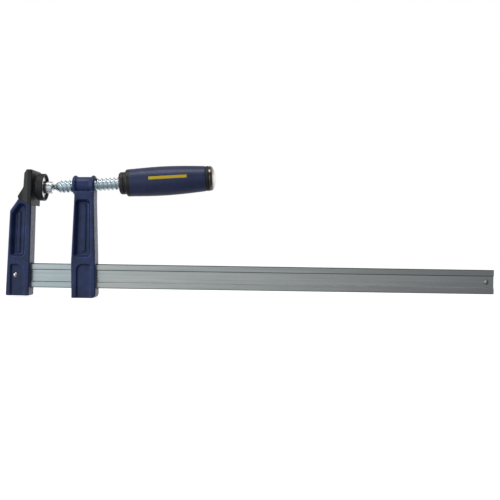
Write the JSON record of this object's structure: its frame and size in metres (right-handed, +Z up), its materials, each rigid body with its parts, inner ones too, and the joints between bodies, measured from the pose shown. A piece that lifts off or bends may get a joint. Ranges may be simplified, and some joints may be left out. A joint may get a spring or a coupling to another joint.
{
  "type": "f clamp",
  "caption": "F clamp: steel bar with a fixed jaw, a sliding arm, a coarse clamping screw with a swivelling pad, and a barrel handle.",
  "frame": {"origin": "bottom centre of the bounding box, in the plane of the sliding arm's foot", "axes": "+X along the bar from the fixed jaw to the stop pin, +Y through the clamp's thickness, +Z up from the bar to the jaws"},
  "size_m": [0.5032, 0.0324, 0.1387],
  "materials": {
    "zinc_steel": "zinc-plated drawn steel, satin",
    "pin_steel": "bright turned steel",
    "plate_steel": "bright zinc plate",
    "screw_steel": "zinc plate with a faint blue cast",
    "spring_steel": "oiled spring steel",
    "navy_paint": "satin enamel over a casting",
    "black_plastic": "matt moulded plastic",
    "collar_plastic": "satin moulded plastic",
    "navy_grip": "smooth moulded grip",
    "bright_cap": "polished plated cap"
  },
  "bodies": {
    "rail": {"bar": "zinc_steel", "stop_pin": "pin_steel", "jaw_rivet": "pin_steel", "fixed_jaw": "navy_paint", "jaw_cap": "black_plastic"},
    "arm": {"sliding_arm": "navy_paint"},
    "carrier": {"ball_retainer": "spring_steel"},
    "screw": {"spindle": "screw_steel", "handle_collar": "collar_plastic", "handle_core": "collar_plastic", "handle_pin": "spring_steel", "handle_grip": "navy_grip", "handle_ring": "black_plastic", "end_cap": "bright_cap"},
    "pad": {"pressure_plate": "plate_steel", "pad_cap": "black_plastic"}
  },
  "joints": [
    {"name": "arm_slide", "type": "slide", "parent": "rail", "child": "arm", "axis": [1, 0, 0], "range_m": [0, 0.4]},
    {"name": "screw_advance", "type": "slide", "parent": "arm", "child": "carrier", "axis": [0.9974, 0, 0.0715], "range_m": [-0.00025, 0.01891]},
    {"name": "spindle_turn", "type": "hinge", "parent": "carrier", "child": "screw", "pos_m": [-0.21105, 0, 0.11383], "axis": [0.9974, 0, 0.0715], "range_deg": [-21, 1620]},
    {"name": "pad_tilt", "type": "hinge", "parent": "carrier", "child": "pad", "pos_m": [-0.21105, 0, 0.11383], "axis": [0, 1, 0], "range_deg": [-8, 8]}
  ],
  "couplings": [
    {"joint": "screw_advance", "follows": "spindle_turn", "m_per_rad": 0.00066845}
  ]
}
